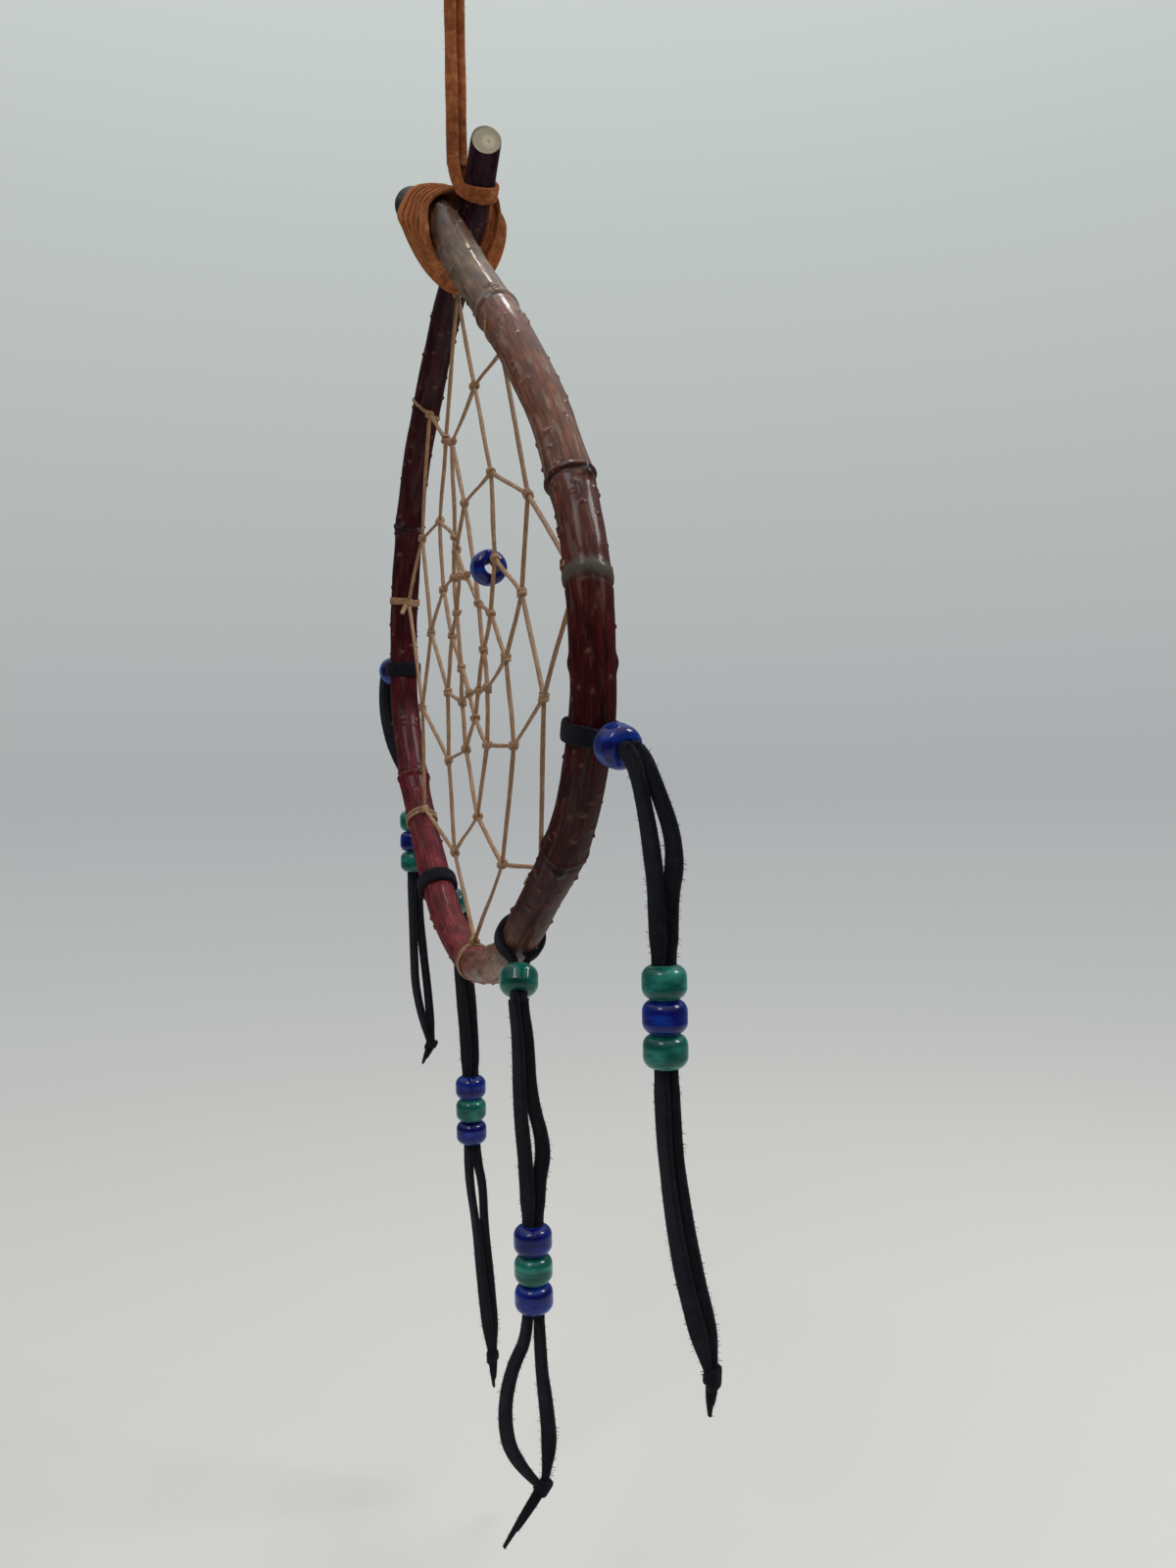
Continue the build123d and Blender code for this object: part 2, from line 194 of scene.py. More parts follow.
def square_to(axis, vectors):
    """Directions of vectors without the part of them that lies along an axis."""
    return unit(vectors - (vectors @ axis)[..., None] * axis)


def around(first, second, angle):
    """The direction at an angle from the first one towards the second."""
    return first * math.cos(angle) + second * math.sin(angle)


def coil(centre, axis, side, angle, reach, shift):
    """Points round an axis: at angles from one side of it, so far out and so far along."""
    turned = np.outer(np.cos(angle), side) + np.outer(np.sin(angle), np.cross(axis, side))
    return centre + turned * np.reshape(reach, (-1, 1)) + np.outer(shift, axis)


def smooth(value):
    """0 below 0, 1 above 1 and a soft step between them."""
    value = np.clip(value, 0, 1)
    return value * value * (3 - 2 * value)


def interpolated(places, known, values):
    """Rows of values that belong to known places, read at other places."""
    columns = np.array(values, float).T
    return np.stack([np.interp(places, known, column) for column in columns], axis=1)


def spline_line(points):
    """The line of a NURBS spline with these control points, as Blender divides it."""
    data = bpy.data.curves.new("route", "CURVE")
    data.dimensions = "3D"
    spline = data.splines.new("NURBS")
    spline.points.add(len(points) - 1)
    for knot, point in zip(spline.points, points):
        knot.co = (*point, 1)
    spline.order_u = 3
    spline.use_endpoint_u = True
    spline.resolution_u = 16
    holder = bpy.data.objects.new("route", data)
    mesh = bpy.data.meshes.new_from_object(holder)
    line = np.array([v.co[:] for v in mesh.vertices])
    bpy.data.objects.remove(holder)
    bpy.data.curves.remove(data)
    bpy.data.meshes.remove(mesh)
    return line


def distances(line):
    """How far along a line each of its points is."""
    return np.concatenate(([0], np.cumsum(np.linalg.norm(np.diff(line, axis=0), axis=1))))


def evenly(line, step):
    """The same line divided into equal steps, and the distance along it."""
    run = distances(line)
    along = np.linspace(0, run[-1], max(3, round(run[-1] / step) + 1))
    return interpolated(along, run, line), along


def route(points, step):
    """A spline's line in equal steps of so many millimetres, and the distance along it."""
    return evenly(spline_line(points), step * MM)


def directions(line, facings):
    """Tangent, width and depth directions along a line. The width turns through facings."""
    tangent = unit(np.gradient(line, axis=0))
    share = np.linspace(0, len(facings) - 1, len(line))
    wish = interpolated(share, range(len(facings)), facings)
    width = unit(wish - tangent * np.sum(wish * tangent, axis=1, keepdims=True))
    return tangent, width, np.cross(tangent, width)


def wavering(along, size, length, seed):
    """Slow random change along a line, from -size to size, in metres."""
    return np.array([size * noise.noise(Vector((s / length, seed, 0.5))) for s in along])


# ---- skins ----
def rounded_section(width, depth, count=16, squareness=4.0):
    """Offsets of a flat lace's outline, for one width and depth or for many along a line."""
    angle = np.arange(count) / count * 2 * math.pi
    power = 2 / squareness
    across = np.sign(np.cos(angle)) * np.abs(np.cos(angle)) ** power
    out = np.sign(np.sin(angle)) * np.abs(np.sin(angle)) ** power
    offsets = np.outer(width, across) / 2, np.outer(depth, out) / 2
    return np.stack(np.broadcast_arrays(*offsets), axis=2)


def band_faces(rings, count):
    """Quads between rings of count points, each ring following the one before."""
    faces = []
    for a in range(0, (rings - 1) * count, count):
        for j in range(count):
            k = (j + 1) % count
            faces.append((a + j, a + k, a + count + k, a + count + j))
    return faces


def cap_faces(centre, ring, count):
    """Triangles from a centre to a ring of count points."""
    return [(centre, ring + j, ring + (j + 1) % count) for j in range(count)]


def flipped(faces, first=0):
    """The same faces seen from behind, with their points numbered from first."""
    return [tuple(first + i for i in face[::-1]) for face in faces]


def set_attribute(mesh, name, values):
    """A vector or colour for each point of a mesh, for the materials to read."""
    kind, field = ("FLOAT_VECTOR", "vector") if values.shape[1] == 3 else ("FLOAT_COLOR", "color")
    data = mesh.attributes.new(name, kind, "POINT").data
    data.foreach_set(field, values.astype(np.float32).ravel())


class Build:
    """Points, faces and grain coordinates of one mesh, gathered from several skins."""

    def __init__(self):
        self.points, self.faces, self.grains, self.slots = [], [], [], []

    def add(self, points, faces, grains, slot=0):
        base = sum(len(p) for p in self.points)
        self.points.append(np.asarray(points, float))
        self.grains.append(np.asarray(grains, float))
        self.faces += [tuple(base + i for i in face) for face in faces]
        self.slots += [slot] * len(faces)

    def tube(self, rings, grains, caps=True):
        """A skin over rings of points, stations by count."""
        stations, count = rings.shape[:2]
        faces = band_faces(stations, count)
        points, grain = rings.reshape(-1, 3), grains.reshape(-1, 3)
        if caps:
            points = np.concatenate((points, [rings[0].mean(0), rings[-1].mean(0)]))
            grain = np.concatenate((grain, [grains[0].mean(0), grains[-1].mean(0)]))
            centre = stations * count
            faces += flipped(cap_faces(centre, 0, count))
            faces += cap_faces(centre + 1, centre - count, count)
        self.add(points, faces, grain)

    def sweep(self, line, run, across, out, section, tilt=0.0):
        """A section, in metres, along a line. Tilt lifts one edge of a lace."""
        section = np.broadcast_to(section, (len(line), *section.shape[1:]))
        lift = section[:, :, 1:] + tilt * section[:, :, :1]
        rings = line[:, None] + across[:, None] * section[:, :, :1] + out[:, None] * lift
        along = np.broadcast_to(run[:, None, None], (*section.shape[:2], 1))
        self.tube(rings, np.concatenate((section, along), axis=2) / MM)
        return rings

    def lace(self, line, run, facings, section, tilt=0.0):
        """A lace whose width turns through facings."""
        _, width, depth = directions(line, facings)
        return self.sweep(line, run, width, depth, section, tilt)

    def fuzz(self, rings, line, hairs, seed, longest):
        """Short hairs of suede standing out of a lace, mostly from its two edges."""
        chance = random.Random(seed)
        stations, count = rings.shape[:2]
        points, faces, grains = [], [], []
        for _ in range(hairs):
            i = chance.randrange(1, stations - 1)
            j = chance.choice((0, 0, count // 2, count // 2, chance.randrange(count)))
            root = rings[i, j]
            out = unit(root - line[i])
            lean = unit(line[i + 1] - line[i - 1]) * chance.uniform(-0.9, 0.9)
            side = np.array([chance.uniform(-1, 1) for _ in range(3)])
            length = chance.uniform(0.25, 1) ** 2 * longest * MM
            first = root - out * HAIR_ROOT * MM
            second = root + unit(out + lean * 0.5 + side * 0.2) * length * 0.55
            third = second + unit(out + lean + side * 0.5) * length * 0.45
            across = unit(np.cross(out, lean + side * 0.01)) * HAIR_WIDTH * MM
            upward = unit(np.cross(out, across)) * HAIR_WIDTH * MM
            base = len(points)
            for centre, thick in ((first, 1.0), (second, 0.7)):
                points += [centre + step * thick for step in (across, -across, upward)]
            points.append(third)
            grains += [(0, 0, i * 0.5)] * 7
            faces += [(base, base + 1, base + 2)]
            for k in range(3):
                a, b = base + k, base + (k + 1) % 3
                faces += [(a, a + 3, b + 3, b), (a + 3, base + 6, b + 3)]
        self.add(points, faces, grains)

    def piece(self, name, body, slot, node):
        """The mesh as a piece that rides on a body and stands for a node of the CAD."""
        mesh = bpy.data.meshes.new(name)
        mesh.from_pydata(np.concatenate(self.points).tolist(), [], self.faces)
        set_attribute(mesh, "grain", np.concatenate(self.grains))
        for material in MATERIALS[slot]:
            mesh.materials.append(material)
        mesh.polygons.foreach_set("material_index", self.slots)
        mesh.polygons.foreach_set("use_smooth", [True] * len(mesh.polygons))
        mesh.update()
        piece = placed(name, mesh)
        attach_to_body(piece, body)
        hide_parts(node)
        return piece


def suede_piece(names, line, run, facings, outline, hairs, tilt=0.0):
    """One lace as a piece. hairs are their number, their seed and the longest one's length."""
    build = Build()
    rings = build.lace(line, run, facings, rounded_section(*outline), tilt)
    build.fuzz(rings, line, *hairs)
    return build.piece(*names)


# ---- materials ----
def srgb(red, green, blue):
    """A colour written as 0 to 255, as the render nodes take it."""
    parts = []
    for value in (red / 255, green / 255, blue / 255):
        parts.append(value / 12.92 if value <= 0.04045 else ((value + 0.055) / 1.055) ** 2.4)
    return (*parts, 1)


class Nodes:
    """Makes and joins the nodes of one tree. Values are constants or other nodes' outputs."""

    def __init__(self, tree):
        self.tree = tree

    def put(self, socket, value):
        if isinstance(value, bpy.types.NodeSocket):
            self.tree.links.new(value, socket)
        else:
            socket.default_value = value

    def node(self, kind, *inputs, **settings):
        """A node with its first inputs in their own order."""
        node = self.tree.nodes.new("ShaderNode" + kind)
        for name, value in settings.items():
            setattr(node, name, value)
        for socket, value in zip(node.inputs, inputs):
            self.put(socket, value)
        return node

    def fill(self, node, **inputs):
        """Values for a node's named inputs, with _ for each space."""
        for name, value in inputs.items():
            self.put(node.inputs[name.replace("_", " ")], value)

    def attribute(self, name, output="Vector"):
        return self.node("Attribute", attribute_name=name).outputs[output]

    def stretched(self, vector, *scale):
        return self.node("VectorMath", vector, scale, operation="MULTIPLY").outputs[0]

    def length(self, vector):
        return self.node("VectorMath", vector, operation="LENGTH").outputs["Value"]

    def noise(self, vector, scale, detail, roughness=0.55):
        node = self.node("TexNoise")
        self.fill(node, Vector=vector, Scale=scale, Detail=detail, Roughness=roughness)
        return node.outputs["Fac"]

    def maths(self, operation, *values):
        return self.node("Math", *values, operation=operation).outputs[0]

    def weighed(self, first, first_share, second, second_share):
        """The sum of two values, each times its own share."""
        parts = (first, first_share), (second, second_share)
        return self.maths("ADD", *(self.maths("MULTIPLY", *part) for part in parts))

    def ramp(self, value, *stops):
        """stops are a place and a colour or grey."""
        node = self.node("ValToRGB", value)
        elements = node.color_ramp.elements
        while len(elements) < len(stops):
            elements.new(0.5)
        for element, (place, colour) in zip(elements, stops):
            element.position = place
            element.color = colour if hasattr(colour, "__len__") else (colour,) * 3 + (1,)
        return node.outputs[0]

    def mix(self, factor, a, b, blend="MIX"):
        node = self.node("Mix", data_type="RGBA", blend_type=blend)
        for index, value in ((0, factor), (6, a), (7, b)):
            self.put(node.inputs[index], value)
        return node.outputs[2]

    def shaded(self, colour, value, *stops):
        """A colour times a ramp of the value."""
        return self.mix(1.0, colour, self.ramp(value, *stops), "MULTIPLY")

    def covered(self, colour, cover, value, *stops):
        """A colour under another one that shows as far as a ramp of the value."""
        return self.mix(self.ramp(value, *stops), colour, cover)

    def bump(self, height, distance):
        node = self.node("Bump")
        self.fill(node, Height=height, Distance=distance, Strength=1.0)
        return node.outputs[0]


class Shader(Nodes):
    """A material made around its Principled shader."""

    def __init__(self, name):
        self.material = bpy.data.materials.new(name)
        self.material.use_nodes = True
        super().__init__(self.material.node_tree)

    def set(self, **inputs):
        self.fill(self.tree.nodes["Principled BSDF"], **inputs)


def bark_material():
    s = Shader("bark")
    grain = s.attribute("grain")
    streak = s.noise(s.stretched(grain, 1, 1, 0.08), 1.5, 5)
    patch = s.noise(s.stretched(grain, 1, 1, 0.4), 0.4, 4)
    fine = s.noise(s.stretched(grain, 1, 1, 0.2), 6.0, 4)
    speck = s.noise(grain, 4.0, 2)
    wax = s.noise(s.stretched(grain, 0.6, 0.6, 0.1), 1.1, 4, 0.6)
    waxed = s.attribute("tone", "Alpha")
    colour = s.attribute("tone", "Color")
    colour = s.shaded(colour, streak, (0.36, 0.62), (0.5, 0.98), (0.66, 1.5))
    colour = s.shaded(colour, patch, (0.38, 0.65), (0.62, 1.3))
    pale = s.mix(0.32, colour, srgb(196, 178, 160))
    colour = s.mix(s.maths("MULTIPLY", s.ramp(wax, (0.53, 0.0), (0.6, 1.0)), waxed), colour, pale)
    colour = s.covered(colour, srgb(150, 122, 104), speck, (0.66, 0.0), (0.74, 0.35))
    raised = s.mix(0.5, colour, srgb(150, 112, 92))
    marks = s.node("SeparateXYZ", s.attribute("marks")).outputs
    for mark, cover in zip(marks, (raised, srgb(20, 12, 12), srgb(84, 82, 74))):
        colour = s.mix(mark, colour, cover)
    s.set(Base_Color=colour, Roughness=s.ramp(streak, (0.38, 0.34), (0.62, 0.55)))
    s.set(Coat_Weight=s.ramp(waxed, (0.1, 0.12), (0.7, 0.5)), Coat_Roughness=0.15)
    s.set(Specular_IOR_Level=0.08, Normal=s.bump(s.weighed(streak, 0.5, fine, 0.2), 0.0004))
    return s.material


def wood_material():
    """Cut wood: pale and sawn, with a darker pith that is a little to one side."""
    s = Shader("cut_wood")
    grain = s.attribute("grain")
    aside = s.node("VectorMath", s.stretched(grain, 1, 1, 0), (-0.5, 0.35, 0), operation="ADD")
    far = s.maths("MULTIPLY", s.length(aside.outputs[0]), 0.1)
    wobble = s.maths("MULTIPLY", s.maths("SUBTRACT", s.noise(grain, 0.5, 3), 0.5), 0.12)
    bent = s.maths("ADD", far, wobble)
    ring = s.noise(s.node("CombineXYZ", bent).outputs[0], 22.0, 3)
    colour = s.ramp(ring, (0.35, srgb(156, 144, 122)), (0.6, srgb(186, 176, 154)))
    for cover in (
        (srgb(226, 206, 180), bent, (0.0, 0.2), (0.1, 0.8), (0.22, 0.0)),
        (srgb(120, 102, 82), bent, (0.02, 0.25), (0.09, 0.0)),
        (srgb(92, 84, 70), far, (0.37, 0.0), (0.44, 0.8)),
        (srgb(140, 132, 112), s.noise(grain, 3.0, 4), (0.4, 0.0), (0.7, 0.5)),
    ):
        colour = s.covered(colour, *cover)
    s.set(Base_Color=colour, Roughness=0.85, Normal=s.bump(s.noise(grain, 5.0, 3), 0.0002))
    return s.material


def suede_material(name, dark, plain, light, sheen_tint):
    s = Shader(name)
    grain = s.attribute("grain")
    nap = s.noise(s.stretched(grain, 1, 1, 0.5), 4.0, 6, 0.7)
    cloud = s.noise(grain, 0.45, 3)
    value = s.weighed(nap, 0.6, cloud, 0.4)
    colour = s.ramp(value, (0.34, dark), (0.5, plain), (0.66, light))
    length = s.noise(s.stretched(grain, 0.3, 0.3, 1), 0.035, 2)
    colour = s.shaded(colour, length, (0.38, 0.72), (0.6, 1.2))
    s.set(Base_Color=colour, Roughness=0.95, Specular_IOR_Level=0.2, Normal=s.bump(nap, 0.0005))
    s.set(Sheen_Weight=0.25, Sheen_Roughness=0.4, Sheen_Tint=sheen_tint)
    return s.material


def thread_material():
    s = Shader("waxed_thread")
    grain = s.attribute("grain")
    fibre = s.noise(s.stretched(grain, 3, 3, 0.25), 2.5, 4)
    tones = (0.3, srgb(112, 76, 48)), (0.52, srgb(174, 130, 90)), (0.72, srgb(216, 182, 144))
    stain = s.noise(grain, 0.15, 3)
    colour = s.covered(s.ramp(fibre, *tones), srgb(116, 76, 46), stain, (0.4, 0.0), (0.65, 0.35))
    s.set(Base_Color=colour, Roughness=0.42, Coat_Weight=0.15, Coat_Roughness=0.35)
    s.set(Normal=s.bump(fibre, 0.0003))
    return s.material


def pearl_material(name, dark, plain, light, sheen_tint):
    """Moulded pearl plastic: soft swirls under a clear gloss, and a faint parting line."""
    s = Shader(name)
    place = s.node("TexCoord").outputs
    swirl = s.noise(s.stretched(place["Object"], 1000, 1000, 2600), 0.16, 4, 0.5)
    flake = s.noise(place["Object"], 9000, 2)
    value = s.weighed(swirl, 0.85, flake, 0.15)
    colour = s.ramp(value, (0.28, dark), (0.5, plain), (0.82, light))
    height = s.node("SeparateXYZ", place["Generated"]).outputs[2]
    from_middle = s.maths("ABSOLUTE", s.maths("SUBTRACT", height, 0.5))
    seam = s.ramp(from_middle, (0.0, 1.0), (0.02, 0.0))
    s.set(Base_Color=colour, Roughness=0.5, Specular_IOR_Level=0.0, Normal=s.bump(seam, 0.0001))
    s.set(Sheen_Weight=1.0, Sheen_Roughness=0.35, Sheen_Tint=sheen_tint)
    s.set(Coat_Weight=1.0, Coat_Roughness=0.03, Coat_IOR=1.42)
    return s.material


BLACK_TONES = srgb(6, 6, 9), srgb(15, 15, 21), srgb(34, 34, 44), srgb(120, 125, 150)
TAN_TONES = srgb(102, 46, 22), srgb(176, 98, 52), srgb(222, 150, 96), srgb(255, 200, 150)
BLUE_TONES = srgb(0, 0, 40), srgb(2, 8, 96), srgb(16, 70, 180), srgb(110, 160, 250)
GREEN_TONES = srgb(0, 50, 46), srgb(4, 86, 76), srgb(64, 164, 148), srgb(160, 235, 220)
BLUE = pearl_material("blue_pearl", *BLUE_TONES)
GREEN = pearl_material("green_pearl", *GREEN_TONES)
MATERIALS = {  # of each slot
    "bark": [bark_material(), wood_material()],
    "thread": [thread_material()],
    "suede_black": [suede_material("black_suede", *BLACK_TONES)],
    "lace_tan": [suede_material("tan_suede", *TAN_TONES)],
}


# ---- the twig's line ----
TWIG_STEP = 0.4
TWIG_FACING = [(0.02, 1, 0.01)]


def twig_radius(share):
    return (BUTT_DIAMETER + (TIP_DIAMETER - BUTT_DIAMETER) * share) / 2 * MM


def twig_centreline():
    """The spline through part.py's corners, moved onto the middle of the CAD twig."""
    line, along = route((np.array(TWIG_CORNERS) + MIDDLE) * MM, TWIG_STEP)
    _, width, depth = directions(line, TWIG_FACING)
    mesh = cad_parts["hoop_twig"].data
    surface = BVHTree.FromPolygons(
        [v.co for v in mesh.vertices], [tuple(p.vertices) for p in mesh.polygons]
    )
    samples = range(20, len(line) - 20, 5)
    offsets = []
    for i in samples:
        total = np.zeros(3)
        for k in range(8):
            ray = around(width[i], depth[i], k * math.pi / 4)
            hit = surface.ray_cast(Vector(line[i]), Vector(ray), 0.012)
            total += ray * (hit[3] or 0)
        offsets.append(total / 4)
    spread = interpolated(range(len(line)), samples, offsets)
    for k in range(3):
        padded = np.pad(spread[:, k], 4, mode="edge")
        spread[:, k] = np.convolve(padded, np.ones(9) / 9, mode="valid")
    line, along = evenly(line + spread, TWIG_STEP * MM)
    for away, (reach, shift) in ((along, BUTT_SHIFT), (along[-1] - along, TIP_SHIFT)):
        near_end = 1 - smooth(away / (reach * MM))
        line += near_end[:, None] * np.array(shift) * MM
    return line, along


TWIG_LINE, TWIG_RUN = twig_centreline()
TWIG_TANGENT, TWIG_WIDTH, TWIG_DEPTH = directions(TWIG_LINE, TWIG_FACING)


def twig_index(share):
    return int(round(share * (len(TWIG_LINE) - 1)))


# ---- the twig ----
BARK_TONES = [  # share of the twig's length, colour
    # From 0.0 to 0.05 the colour darkens to near-black at the thick end: painted shade, where
    # that end lies in the lashing.
    (0.00, (10, 8, 8)), (0.022, (30, 22, 19)), (0.05, (58, 38, 28)), (0.085, (78, 50, 36)),
    (0.12, (108, 84, 60)), (0.145, (104, 70, 48)), (0.16, (106, 58, 40)), (0.22, (110, 64, 44)),
    (0.243, (102, 60, 42)), (0.25, (86, 42, 32)), (0.285, (76, 28, 22)), (0.30, (62, 12, 12)),
    (0.36, (48, 8, 10)), (0.40, (50, 11, 12)), (0.43, (56, 20, 18)), (0.448, (92, 58, 46)),
    (0.47, (118, 84, 68)), (0.49, (128, 92, 76)), (0.51, (120, 66, 62)), (0.53, (112, 42, 46)),
    (0.60, (104, 36, 44)), (0.68, (78, 18, 26)), (0.76, (56, 12, 18)), (0.86, (52, 13, 18)),
    (0.95, (46, 14, 26)), (1.00, (42, 16, 30)),
]
WAXED = [  # share of the twig's length, how far its pale wax shows
    (0.0, 0.0), (0.04, 0.2), (0.09, 0.25), (0.13, 0.7), (0.24, 0.7), (0.26, 0.35),
    (0.29, 0.3), (0.31, 0.1), (0.44, 0.1), (0.47, 0.6), (0.54, 0.1),
]
BARK_WAVES = [(0.3, 7, 0.6), (0.06, 2, 0.6), (0.035, 0.9, 0.07)]  # height, size, lengthwise
BUD_RINGS = [  # share, ridge height, half length, dark edge, grey band
    (0.149, 0.3, 0.9, 0.35, 0.45), (0.249, 0.55, 0.6, 0.85, 0.0), (0.2885, 0.25, 1.5, 0.2, 0.85),
    (0.39, 0.25, 0.7, 0.5, 0.0), (0.49, 0.35, 0.9, 0.4, 0.15), (0.66, 0.4, 0.8, 0.5, 0.0),
    (0.80, 0.4, 0.8, 0.6, 0.0),
]
BUDS = [  # share, angle, height
    (0.318, 0.4, 0.3), (0.318, 3.5, 0.3), (0.252, 1.2, 0.6), (0.394, 2.0, 0.8),
    (0.66, 1.0, 0.8), (0.80, 4.0, 0.8), (0.492, 5.0, 0.7),
]
LENTICELS = 420
SPOT_WINDOW = 4  # how far along the twig a lenticel or bud can reach
WAVE_RADIUS = 4.6  # of the cylinder through the noise that the bark's waves are read from
AROUND = 88  # points in each ring of the twig
RAISED, DARK, GREY = 0, 1, 2  # marks of the bark
LEAN_LENGTH = 12  # of the twig before its slanting cut
CUT_DEPTH = 0.12


def raise_spot(radius, run, angle, at, turn, wide, long, high, curled=False):
    """A lenticel or bud: wide across the twig, long along it."""
    centre = at * run[-1]
    rows = np.abs(run - centre) < SPOT_WINDOW
    turn_away = (angle - turn + math.pi) % (2 * math.pi) - math.pi
    across = (turn_away * twig_radius(at) / MM / wide)[None]
    out = (run[rows] - centre)[:, None] / long
    far = np.sqrt(across**2 + out**2)
    shape = np.exp(-(far**2.6))
    if curled:
        gap = 1 - 0.8 * np.exp(-((across - 0.8) ** 2 + (out + 0.5) ** 2) / 0.3)
        shape = np.exp(-(((far - 0.75) / 0.38) ** 2)) * gap
    radius[rows] += high * shape
    return rows, shape


def twig_relief(run, angle):
    """The bark's radius at every point, in millimetres, and its marks."""
    chance = random.Random(11)
    radius = np.outer(twig_radius(run / run[-1]) / MM, np.ones(AROUND))
    marks = np.zeros((len(run), AROUND, 3))
    sides = [(math.cos(a) * WAVE_RADIUS, math.sin(a) * WAVE_RADIUS) for a in angle]
    for i, j in np.ndindex(*radius.shape):
        for high, size, lengthwise in BARK_WAVES:
            spot = Vector((*sides[j], run[i] * lengthwise))
            radius[i, j] += high * noise.noise(spot / size)

    for at, high, half, dark, grey in BUD_RINGS:
        wave = 0.5 * np.cos(angle - chance.uniform(0, 6)) + 0.25 * np.cos(2 * angle + at * 40)
        away = run[:, None] - at * run[-1] - wave
        rim = np.exp(-(((away - half * 1.3) / 0.45) ** 2))
        radius += high * np.exp(-((away / half) ** 2)) + 0.3 * np.exp(-((away / 3.5) ** 2))
        radius -= 0.22 * rim
        marks[:, :, DARK] += dark * rim
        marks[:, :, GREY] += grey * np.exp(-((away / (half * 1.1)) ** 4))

    for _ in range(LENTICELS):
        at, turn = chance.uniform(0.03, 0.985), chance.uniform(0, 2 * math.pi)
        wide, long = chance.uniform(0.35, 0.8), chance.uniform(0.26, 0.42)
        curled = chance.random() < 0.2
        grow = 1.25 if curled else 1.0
        size = wide * grow, long * grow * 1.1, chance.uniform(0.22, 0.6)
        rows, shape = raise_spot(radius, run, angle, at, turn, *size, curled)
        marks[rows, :, RAISED] += shape * chance.uniform(0.5, 1.0)
    for at, turn, high in BUDS:
        rows, shape = raise_spot(radius, run, angle, at, turn, 1.2, 1.6, high * 1.5)
        marks[rows, :, DARK] += shape * 0.9
    radius[:3] -= np.array([0.9, 0.35, 0.08])[:, None]  # both ends are rounded over
    radius[-2:] -= np.array([0.02, 0.12])[:, None]
    return radius, np.clip(marks, 0, 1)


def twig_piece():
    run, line, tangent = TWIG_RUN / MM, TWIG_LINE / MM, TWIG_TANGENT
    angle = np.arange(AROUND) / AROUND * 2 * math.pi
    cos, sin = np.cos(angle), np.sin(angle)
    radius, marks = twig_relief(run, angle)
    out = TWIG_WIDTH[:, None] * cos[:, None] + TWIG_DEPTH[:, None] * sin[:, None]
    rings = line[:, None] + out * radius[:, :, None]
    lengthwise = np.broadcast_to(run[:, None], radius.shape)
    grain = np.stack((radius * cos, radius * sin, lengthwise), axis=2)
    shares, colours = zip(*BARK_TONES)
    tones = interpolated(run / run[-1], shares, [srgb(*colour)[:3] for colour in colours])
    tones = np.column_stack((tones, np.interp(run / run[-1], *zip(*WAXED))))

    # the last stretch leans onto the slanting cut
    normal = unit(TIP_CUT_NORMAL)
    slide = ((line[-1] - rings[-1]) @ normal) / (tangent[-1] @ normal)
    lean = smooth((run - run[-1] + LEAN_LENGTH) / LEAN_LENGTH)
    rings += tangent[:, None] * lean[:, None, None] * slide[:, None]

    build = Build()
    build.tube(rings * MM, grain, caps=False)
    shares = np.array([1.0, 0.93, 0.6, 0.3])[:, None, None]
    cut = band_faces(4, AROUND) + cap_faces(4 * AROUND, 3 * AROUND, AROUND)
    for end, inwards, slot, faces in ((0, 1, 0, flipped(cut)), (-1, -1, 1, cut)):
        middle = rings[end].mean(0)
        discs = middle + (rings[end] - middle) * shares
        spots = grain[end] * np.array([1, 1, 0]) * shares
        discs[1:] += tangent[end] * CUT_DEPTH * inwards
        points = np.concatenate((discs.reshape(-1, 3), [discs[-1].mean(0)]))
        spots = np.concatenate((spots.reshape(-1, 3), [(0, 0, 0)]))
        build.add(points * MM, faces, spots, slot)
    tones = np.repeat(tones, AROUND, 0), np.repeat(tones[[0, -1]], len(points), 0)
    marks = marks.reshape(-1, 3), np.zeros((2 * len(points), 3))
    piece = build.piece("twig_bark", "hoop", "bark", "hoop_twig")
    set_attribute(piece.data, "tone", np.concatenate(tones))
    set_attribute(piece.data, "marks", np.concatenate(marks))


# ---- the web ----
THREAD_SLACK = 0.25  # how far a tight thread still strays from a straight line
KNOT_TURNS = 2.1
KNOT_REACH = 0.62  # from a knot's axis to the middle of its thread
KNOT_LENGTH = 1.35
THREAD_OUTLINE = (8, 2.6)  # points round a thread, and how square it is
WRAPS = [  # of the hitches: turns, pitch, slant, width
    (2.0, 2.4, 1.2, 1.0), (2.0, 2.6, 0.3, 1.1), (2.0, 1.6, 0.2, 1.4), (1.0, 0.6, -2.2, 1.1),
    (0.4, 0.3, 0.2, 1.0), (0.55, 0.4, 0.3, 1.1), (0.55, 0.4, 0.3, 1.1), (0.4, 0.3, 0.3, 1.1),
]
TAILED_HITCH = 2  # the hitch whose cut end shows
HITCH_TAIL = [(1.5, -1.5, -2.5), (3, -3, -5)]


def run_between(build, start, end, seed):
    """Thread pulled tight between two knots, with the little waviness that waxed thread keeps."""
    chance = random.Random(seed)
    points = [start]
    for share in (0.33, 0.67):
        stray = np.array([chance.uniform(-THREAD_SLACK, THREAD_SLACK) for _ in range(3)]) * MM
        points.append(start + (end - start) * share + stray)
    points.append(end)
    tilt = chance.uniform(-1, 1)
    line, run = route(points, 0.7)
    wide = THREAD_WIDTH * MM + wavering(run, 0.12 * MM, 4 * MM, start[0] * 900)
    section = rounded_section(wide, THREAD_DEPTH * MM, *THREAD_OUTLINE)
    build.lace(line, run, [(tilt, 1, 0.3), (-tilt, 0.6, 1)], section)


